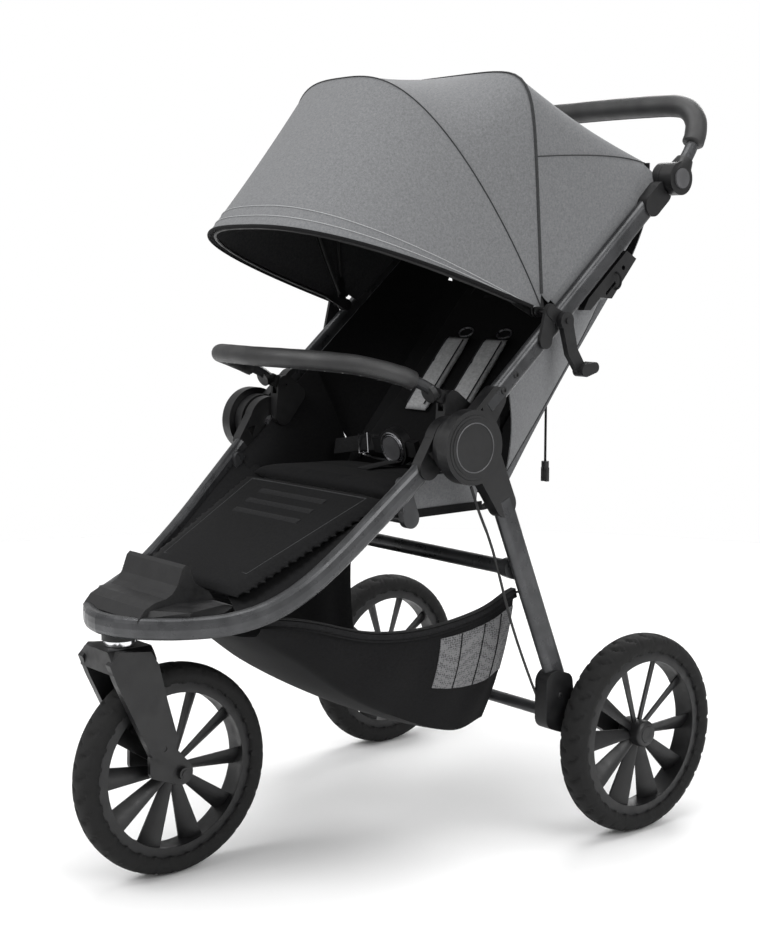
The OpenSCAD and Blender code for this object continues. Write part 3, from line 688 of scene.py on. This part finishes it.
def make_shoulder_pad(side, name):
    """A padded sleeve on the backrest, with its strap above it and the strap's slider."""
    middle = side * 44

    def on_pad(x, v, out):
        return on_back(middle + x, 92 + v, 23 + out)

    pad(f"shoulder_pad_{name}", on_pad, lambda v: 24, 144, 15, "pad_cloth", "backrest",
        ("shoulder_pads",), cap=0, channels=((0.33, 2, 0.95), (0.66, 2, 0.95)))
    for edge, letter in ((-20, "a"), (20, "b")):
        surface_ribbon(f"shoulder_pad_{name}_edge_{letter}", on_pad, [(edge, 8), (edge, 136)], 6,
                       circle(1.1, 8), "binding", "backrest")
    surface_ribbon(f"shoulder_strap_{name}", lambda x, v, out: on_back(middle + x, v, out),
                   [(0, 238), (0, 330)], 13.5, flat(24, 2), "webbing", "backrest")
    ring = [on_back(middle + 15 * math.cos(t), 252 + 9 * math.sin(t), 16) for t in full_turn(24)]
    swept(f"strap_slider_{name}", ring, circle(1.6, 8), on_back(0, 0, 10) - on_back(0, 0, 0), "steel",
          "backrest", loop=True)


WALL_TOP = [(208, -96, 552), (205, -62, 578), (205, -30, 610), (213, 14, 652), (221, 62, 688)]
WALL_FOOT = [(172, -100, 522), (172, -62, 522), (172, -20, 521), (172, 40, 519), (174, 108, 524)]
SKIRT_TOP = [(207, -80, 563), (208, -96, 552), (200, -150, 509), (190, -205, 462), (179, -260, 421),
             (164, -310, 396), (146, -345, 385)]
SKIRT_FOOT = [(150, -80, 519), (144, -96, 516), (132, -146, 491), (122, -196, 466), (112, -246, 441),
              (102, -292, 419), (94, -324, 404)]


def mirrored_line(points, side):
    return flowing([at(side * x, y, z) for x, y, z in points], 5)


def wall(name, side, top, foot, slack, **more):
    """Loose cloth between two lines, bowed slack mm toward the seat, or outward below zero."""
    rows = []
    for high, low in zip(mirrored_line(top, side), mirrored_line(foot, side)):
        rows.append([high.lerp(low, k / 8) - Vector((side * slack * MM * math.sin(math.pi * k / 8), 0, 0))
                     for k in range(9)])
    shown = cloth(name, rows, 2, "black_cloth", inward=side, **more)
    return shown, rows


def panel_below_tube(name, side):
    """Gray cloth that shows below the lower tube, and the seat's dark band along its foot."""
    rows = [[at(side * (192 - k), y, 556 - 8 * k) for k in range(7)] for y in range(-74, 47, 10)]
    band = [[at(side * 187.5, y, z) for z in (509, 503, 497)] for y in range(-84, 57, 10)]
    shown = cloth(f"seat_side_panel_{name}", rows, 2, "melange_cloth", body="lower_frame", inward=side)
    cloth(f"seat_side_band_{name}", band, 2.4, "black_cloth", body="lower_frame", inward=side)
    return shown, rows


def make_wings():
    """Black side cloth: walls beside the seat, skirts beside the leg rest, sides of the backrest."""
    for side, name in SIDES:
        shown, rows = wall(f"side_wing_{name}", side, WALL_TOP, WALL_FOOT, 5, stands_for=("side_wings",))
        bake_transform(shown)
        shown, rows = wall(f"leg_rest_skirt_{name}", side, SKIRT_TOP, SKIRT_FOOT, -3, body="lower_frame")
        shown, rows = panel_below_tube(name, side)
        low = flowing([at(side * 180, y, z) for y, z in GUSSET_LOW], FLOW)
        near = flowing([on_back(side * (138 - 20 * v), 4 + 356 * v, -3)
                        for v in (0, 0.25, 0.5, 0.75, 1)], 6)
        rows = [[a.lerp(b, k / 5) for k in range(6)] for a, b in zip(low, near)]
        shown = cloth(f"back_side_{name}", rows, 2, "black_cloth", body="backrest", inward=side)


BUCKLE_TILT = math.radians(105)


def make_harness():
    """Lap and crotch straps, a chrome slider, and two steel rings round the buckle's button."""
    for side, name in SIDES:
        line = flowing([at(side * 54, 60.5, 573), at(side * 90, 62, 570), at(side * 130, 61, 563),
                        at(side * 161, 59.5, 558)], 6)
        swept(f"lap_strap_{name}", line, flat(25, 2.2), (0, -0.9, 0.3), "webbing", "lower_frame",
              stands_for=("harness_straps",))
    loop = [at(x, 57.5, z) for x, z in ((-74, 556), (-96, 552.5), (-99, 583), (-77, 586.5))]
    swept("lap_strap_slider", loop, circle(1.7, 8), (0, 1, 0), "chrome_ring", "lower_frame",
          loop=True, slot="steel")
    line = flowing([at(0, -16, 543), at(0, 4, 545), at(0, 28, 547.5), at(0, 49, 549)], 6)
    swept("crotch_strap", line, flat(26, 2.6), (0, 0, 1), "webbing", "lower_frame",
          stands_for=("harness_straps",))
    out = Vector((0, -math.sin(BUCKLE_TILT), math.cos(BUCKLE_TILT)))
    up = Vector((0, math.cos(BUCKLE_TILT), math.sin(BUCKLE_TILT)))
    for name, radius, lift, thick in (("outer", 24.6, 16.4, 1.3), ("inner", 21, 16.6, 0.9)):
        ring = [at(0, 60, 574) + (Vector((1, 0, 0)) * math.cos(t) + up * math.sin(t)) * radius * MM
                + out * lift * MM for t in full_turn(48)]
        swept(f"buckle_ring_{name}", ring, circle(thick, 8), out, "steel", "lower_frame", loop=True)


# half width, y and z of the curtain's rows, and y and z of the gussets' lower edge
CURTAIN = [(220, 366, 1000), (221, 364, 960), (220, 358, 915), (208, 351, 872), (194, 341, 835),
           (178, 330, 806)]
GUSSET_LOW = [(112, 548), (142, 584), (174, 622), (208, 664), (246, 712), (284, 764), (318, 820),
              (346, 858)]
GUSSET_COLS = 14
FLOW = 4  # steps between two given points along a gusset


def make_gussets():
    """Gray side cloth from the upper tubes to the backrest, and the curtain above the backrest."""
    tops = [(y, on_tube(y) - 4) for y in range(64, 345, 40)]
    for side, name in SIDES:
        columns = []
        for j in range(GUSSET_COLS + 1):
            k = j / GUSSET_COLS
            half = side * (228.5 - 48 * k + 10 * math.sin(math.pi * k))
            columns.append(flowing([at(half, *Vector(t).lerp(Vector(g), k))
                                    for t, g in zip(tops, GUSSET_LOW)], FLOW))
        shown = cloth(f"seat_gusset_{name}", columns, 1.8, "melange_cloth", "black_cloth",
                      stands_for=("seat_gussets",), inward=-side)
        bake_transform(shown)
        edge = columns[-1][:FLOW * (len(GUSSET_LOW) - 2) + 1]
        swept(f"gusset_piping_{name}", edge, circle(1.4, 8), (side, 0, 0), "binding", "backrest")
    rows = []
    for half, y, z in CURTAIN:
        rows.append([at(half * k / 12, y - 2.5 * math.cos(math.pi * k / 24) + 1.5 * math.sin(k * 1.7), z)
                     for k in range(-12, 13)])
    columns = [flowing([row[j] for row in rows], 5) for j in range(25)]
    shown = cloth("back_curtain_cloth", columns, 1.8, "melange_cloth", "black_cloth", -1,
                  stands_for=("back_curtain",))
    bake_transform(shown)


# ---------- basket ----------
BASKET_RIM = [(132, -300, 370), (168, -232, 372), (186, -150, 366), (192, -40, 360), (194, 60, 358),
              (194, 116, 368)]
BASKET_FLOOR = [(104, -286, 344), (122, -222, 300), (134, -140, 240), (140, -40, 188), (142, 44, 160),
                (146, 98, 172)]


NET_ROWS = slice(25, 41)  # of the tub's rows, those that the nets cover
RIM_DIP = 30
FLOOR_SAG = 10
SIDE_SLACK = 2.2


def basket_section(rim, floor, fold, dip):
    """Points from the left rim, down the side, across the sagging floor and up again.

    fold shifts the side's slack from row to row, and dip lowers the rim.
    """
    rim = rim - Vector((0, 0, dip))
    side = []
    for k in range(11):
        q = k / 10
        slack = SIDE_SLACK * math.sin(math.pi * q) * math.sin(fold)
        side.append(Vector((rim.x - (rim.x - floor.x) * q * q + slack, rim.y + (floor.y - rim.y) * q,
                            rim.z + (floor.z - rim.z) * q)))
    base = [Vector((floor.x * q, floor.y, floor.z - FLOOR_SAG * (1 - q * q)))
            for q in [j / 8 for j in range(-7, 8)]]
    left = [Vector((-p.x, p.y, p.z)) for p in side]
    return [at(*p) for p in left + base + side[::-1]]


def bend_basket(shown):
    """The basket hangs on the lower frame in front and on the rear frame behind; this only bakes a piece's
    placement into its mesh, on neither frame.
    """
    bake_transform(shown)


def make_basket():
    rims = flowing([Vector(p) for p in BASKET_RIM], 8)
    floors = flowing([Vector(p) for p in BASKET_FLOOR], 8)
    last = len(rims) - 1
    grid = [basket_section(rim, floor, 0.75 * i, RIM_DIP * math.sin(math.pi * i / last) ** 2)
            for i, (rim, floor) in enumerate(zip(rims, floors))]
    shown = cloth("basket_tub", grid, 2, "black_cloth", stands_for=("basket",), inward=-1)
    bend_basket(shown)
    for side, name in SIDES:
        window = []
        for row in grid[NET_ROWS]:
            part = row[1:7] if side < 0 else row[-7:-1][::-1]
            window.append([p + Vector((side * 1.4 * MM, 0, 0)) for p in part])
        net = cloth(f"basket_net_{name}", window, 1, "mesh_cloth", inward=side)
        bend_basket(net)
        for number in (3, 7, 11):
            bend_basket(swept(f"basket_pleat_{name}_{number}", window[number], circle(1.1, 6), (0, 1, 0),
                              "black_cloth"))
        rim = [row[0] if side < 0 else row[-1] for row in grid]
        bend_basket(swept(f"basket_elastic_{name}", rim, flat(4, 14), (0, 0, 1), "webbing"))
        tie = flowing([rim[-1], rim[-1] + Vector((side * 0.016, 0.008, 0.002)),
                       rim[-1] + Vector((side * 0.044, 0.006, -0.004))], 6)
        swept(f"basket_tie_{name}", tie, flat(12, 1.8), (0, 0, 1), "webbing", "rear_frame")


# ---------- wheels ----------
WHEEL_RADIUS = 150
TYRE_HALF = [(-14, 122), (-20, 126), (-23.2, 133), (-22.5, 139), (-19, 144.5), (-15, 147), (-10, 148.8),
             (-5, 149.6)]
TYRE_SECTION = [*TYRE_HALF, (0, 150), *((-x, r) for x, r in TYRE_HALF[::-1])]
TREAD_BLOCKS = 30
SIPE_DEPTH = 3
SIPE_SHARE = 0.2  # of a tread block's length
BLADES = 10
BLADE_SECTION = [(-1, -0.12), (-0.6, -0.48), (0.2, -0.5), (0.9, -0.2), (1, 0.12), (0.6, 0.48), (-0.2, 0.5),
                 (-0.9, 0.2)]
BLADE_TILT = math.radians(31)  # out of the wheel's plane
BLADE_START = 17  # radius at the hub
BLADE_LENGTH = 95
BLADE_THICK = 7
BLADE_SWEEP = 4.5  # sideways, from the hub to the barrel
HUB_PROFILE = [(-22, 6), (-22, 15), (-20, 18.5), (-17, 20), (17, 20), (20, 18.5), (22, 15), (22, 6)]
CAP_PROFILE = [(22, 3.2), (22, 13), (23.4, 12), (23.9, 8), (23.2, 3.2)]
RIM_PROFILE = [(-17, 110), (-17, 124), (-15.5, 126), (15.5, 126), (17, 124), (17, 110), (13, 109.6),
               (0, 113), (-13, 109.6)]


def spun(name, profile, centre, steps, material, body, nodes=(), radius_at=lambda turn, x, r: r):
    """A closed ring whose section is profile, as (x, radius) pairs."""
    points = []
    for turn in full_turn(steps):
        for x, r in profile:
            r = radius_at(turn, x, r)
            points.append(centre + Vector((x, r * math.cos(turn), r * math.sin(turn))) * MM)
    faces = ring_faces(steps, len(profile), closed=True)
    outward(piece(name, points, faces, material, body, stands_for=nodes))


def tread_radius(turn, x, r):
    """Shallow hooked sipes, staggered across the tyre, and a moulded line round each sidewall."""
    if 20.5 < abs(x) < 23 and r > 136:
        return r - 1.4
    if abs(x) < 3 or abs(x) > 20:
        return r
    phase = (turn / (2 * math.pi) * TREAD_BLOCKS + (abs(x) / 26) ** 2 + (0.5 if x > 0 else 0)) % 1
    return r - SIPE_DEPTH if phase < SIPE_SHARE else r


def make_tyre(name, centre, body, nodes):
    spun(name, TYRE_SECTION, centre, TREAD_BLOCKS * 12, "tyre_rubber", body, nodes, tread_radius)


def make_rim(name, centre, body, nodes):
    """Barrel, ten broad swept blades, a hub and its small caps."""
    spun(f"{name}_barrel", RIM_PROFILE, centre, 96, "black_plastic", body, nodes)
    for number in range(BLADES):
        make_blade(f"{name}_blade_{number + 1}", centre, 2 * math.pi * number / BLADES, body)
    spun(f"{name}_hub", HUB_PROFILE, centre, 48, "black_plastic", body)
    for side, where in SIDES:
        cap = [(side * x, r) for x, r in CAP_PROFILE]
        spun(f"{name}_cap_{where}", cap, centre, 40, "dark_plastic", body)


def make_blade(name, centre, turn, body):
    """A blade, thin at its edges and turned out of the wheel's plane, widening to the barrel."""
    points, steps = [], 10
    for i in range(steps + 1):
        s = i / steps
        r = BLADE_START + BLADE_LENGTH * s
        half = 7.5 + 9.5 * s
        for a, b in BLADE_SECTION:
            across, through = a * half - BLADE_SWEEP * s, b * BLADE_THICK
            x = across * math.sin(BLADE_TILT) + through * math.cos(BLADE_TILT)
            side = across * math.cos(BLADE_TILT) - through * math.sin(BLADE_TILT)
            points.append(centre + Vector((x, r * math.cos(turn) - side * math.sin(turn),
                                           r * math.sin(turn) + side * math.cos(turn))) * MM)
    m = len(BLADE_SECTION)
    faces = ring_faces(steps + 1, m)
    faces += [tuple(range(m)), tuple(range(steps * m, (steps + 1) * m))[::-1]]
    outward(piece(name, points, faces, "black_plastic", body))


def make_wheels():
    for side, name in SIDES:
        centre = at(297 * side, 275, WHEEL_RADIUS)
        body = f"rear_wheel_{name}"
        make_tyre(f"rear_tread_{name}", centre, body, (f"rear_tyre_{name}",))
        make_rim(f"rear_wheel_{name}", centre, body, (f"rear_rim_{name}",))
    centre = at(0, -360, WHEEL_RADIUS)
    make_tyre("front_tread", centre, "front_wheel", ("front_wheel",))
    make_rim("front_rim", centre, "front_wheel", ("front_wheel",))


# ---------- bumper and handle covers ----------
BUMPER_LINE = [(193, -80, 689), (190, -102, 698), (165, -150, 712), (120, -186, 718), (60, -206, 720),
               (0, -210, 720)]
GRIP_LINE = [(254, 424, 1028), (252, 433, 1044), (246, 440, 1064), (230, 442, 1082), (204, 440, 1090),
             (150, 438, 1092), (70, 438, 1093), (0, 438, 1093)]
SLEEVE_END = 0.012  # share of a sleeve's length over which each end is drawn in
SLEEVE_TUCK = 0.22  # how much thinner each end is
STITCH_GAP = 6  # from stitch to stitch, in points of the sleeve's line


def both_halves(half):
    """A line from the right end of the half to its mirror image on the left."""
    return [at(*p) for p in half] + [at(-x, y, z) for x, y, z in half[-2::-1]]


def sleeve_size(share):
    """A sleeve's thickness along it: drawn in at its ends, with faint wrinkles between them."""
    first = max(0, 1 - share / SLEEVE_END)
    last = max(0, 1 - (1 - share) / SLEEVE_END)
    return 1 - first ** 2 * SLEEVE_TUCK - last ** 2 * SLEEVE_TUCK + 0.006 * math.sin(96 * share)


def cover(name, half, radius, body, node):
    """A leatherette sleeve with a stitched seam underneath."""
    line = flowing(both_halves(half), 14)
    swept(name, line, circle(radius, 28), (0, 0, 1), "leatherette", body, size=sleeve_size,
          stands_for=(node,))
    seam = [p - Vector((0, 0, radius * MM * 0.985)) for p in line[3:-3]]
    swept(f"{name}_seam", seam, circle(1.1, 6), (0, 0, 1), "binding", body, slot="leatherette")
    for number in range(4, len(line) - 5, STITCH_GAP):
        start, end = (p - Vector((0, 0, radius * MM * 0.99)) for p in (line[number], line[number + 1]))
        slant = (end - start).cross(Vector((0, 0, 1))).normalized() * 2.4 * MM
        swept(f"{name}_stitch_{number}", [start - slant, end + slant], circle(0.7, 6), (0, 0, 1),
              "thread_gray", body, slot="leatherette")


# ---------- small trim ----------
SCREW_SIDES = 24


def screw(name, place, normal, body, radius=5.0):
    """A round-headed screw with a hexagonal socket."""
    up = Vector(normal).normalized()
    lean = Vector((0, 0, 1)) if abs(up.z) < 0.9 else Vector((0, 1, 0))
    side = up.cross(lean).normalized()
    other = up.cross(side)
    rings = [(radius, -0.5), (radius, 0.6), (radius * 0.86, 1.6), (radius * 0.5, 2.0), (radius * 0.46, 0.7)]
    points = []
    for number, (r, lift) in enumerate(rings):
        for t in full_turn(SCREW_SIDES):
            edge = r if number < 3 else r * (0.93 + 0.07 * math.cos(6 * t))
            points.append(place + (side * math.cos(t) + other * math.sin(t)) * edge * MM + up * lift * MM)
    faces = ring_faces(len(rings), SCREW_SIDES)
    faces += [tuple(range(SCREW_SIDES))[::-1],
              tuple(range((len(rings) - 1) * SCREW_SIDES, len(rings) * SCREW_SIDES))]
    outward(piece(name, points, faces, "dark_plastic", body))


def make_trim():
    """Rings on the hub caps, screws, webbing loops below the upper tubes and one under the seat."""
    for side, name in SIDES:
        outer = Vector((side, 0, 0))
        groove = [at(side * 269.3, HUB[0] + 34 * math.cos(t), HUB[1] + 34 * math.sin(t))
                  for t in full_turn(64)]
        swept(f"hub_cap_ring_{name}", groove, circle(0.9, 8), outer, "button_gray", "rear_frame", loop=True)
        for number, y in enumerate((40, 64)):
            screw(f"upper_screw_{name}_{number + 1}", at(side * 247, y, on_tube(y)), outer, "upper_frame")
        screw(f"axle_box_screw_{name}", at(side * 270, 138, 224), outer, "rear_frame", 4.5)
        ring = [at(side * (244 + 9 * math.cos(t)), 271, on_tube(268) - 46 + 12 * math.sin(t))
                for t in full_turn(28)]
        swept(f"webbing_ring_{name}", ring, circle(1.8, 8), (0, 1, 0), "webbing", "upper_frame", loop=True)
    loop = flowing([at(150, 30, 508), at(150, 60, 494), at(150, 96, 492), at(150, 124, 512)], 8)
    swept("under_seat_strap_loop", loop, flat(20, 1.8), (0, 0, 1), "webbing", "lower_frame")


# ---------- CAD nodes that show as they are ----------
def dress_cad_nodes():
    wanted = {s["node"]: s["material_slot"] for s in frame["record"]["subparts"]}
    for name, shown in frame["nodes"].items():
        material = MATERIALS[wanted[name]]
        if shown.material_slots:
            for place in shown.material_slots:
                place.material = material
        else:
            shown.data.materials.append(material)


# ---------- stage ----------
def make_stage():
    floor_material, tree, shader, coords = look("floor_pale", (0.86, 0.86, 0.86), 0.7)
    two_tone(tree, shader, grain(tree, coords, 3, 2), 0.3, 0.7, (0.85, 0.85, 0.85), (0.87, 0.87, 0.87))
    data = bpy.data.meshes.new("floor")
    sides, radius = 96, 2.7
    points = [(radius * math.cos(t), radius * math.sin(t), 0) for t in full_turn(sides)]
    data.from_pydata(points, [], [tuple(range(sides))])
    data.materials.append(floor_material)
    add_object("floor", data)


LIGHTS_AIM = Vector((0, 0, 0.6))


def area_light(name, place, size, power):
    data = bpy.data.lights.new(name, "AREA")
    data.shape = "DISK"
    data.size = size
    data.energy = power
    lamp = add_object(name, data)
    lamp.location = place
    lamp.rotation_euler = (LIGHTS_AIM - Vector(place)).to_track_quat("-Z", "Y").to_euler()


def make_lights():
    area_light("key", (-0.6, -3.2, 3.4), 2.6, 120)
    area_light("side", (3.6, 0.2, 2.4), 2.4, 70)
    area_light("back", (-1.5, 3.2, 3.0), 2.4, 80)
    area_light("top", (0.2, 0.2, 4.2), 3.2, 90)
    world = bpy.data.worlds.new("studio")
    world.use_nodes = True
    tree = world.node_tree
    background = tree.nodes["Background"]
    background.inputs["Color"].default_value = (1, 1, 1, 1)
    rays = tree.nodes.new("ShaderNodeLightPath")
    strength = tree.nodes.new("ShaderNodeMapRange")
    strength.inputs["To Min"].default_value = 0.5
    strength.inputs["To Max"].default_value = 1.0
    tree.links.new(rays.outputs["Is Camera Ray"], strength.inputs["Value"])
    tree.links.new(strength.outputs["Result"], background.inputs["Strength"])
    bpy.context.scene.world = world
    bpy.context.scene.view_settings.view_transform = "Standard"


make_camera()
dress_cad_nodes()
make_cord()
make_canopy()
make_seat()
make_basket()
make_wheels()
cover("bumper_sleeve", BUMPER_LINE, 13.5, "bumper", "bumper_cover")
cover("handle_sleeve", GRIP_LINE, 16.5, "handle", "handle_grip")
make_trim()
make_stage()
make_lights()
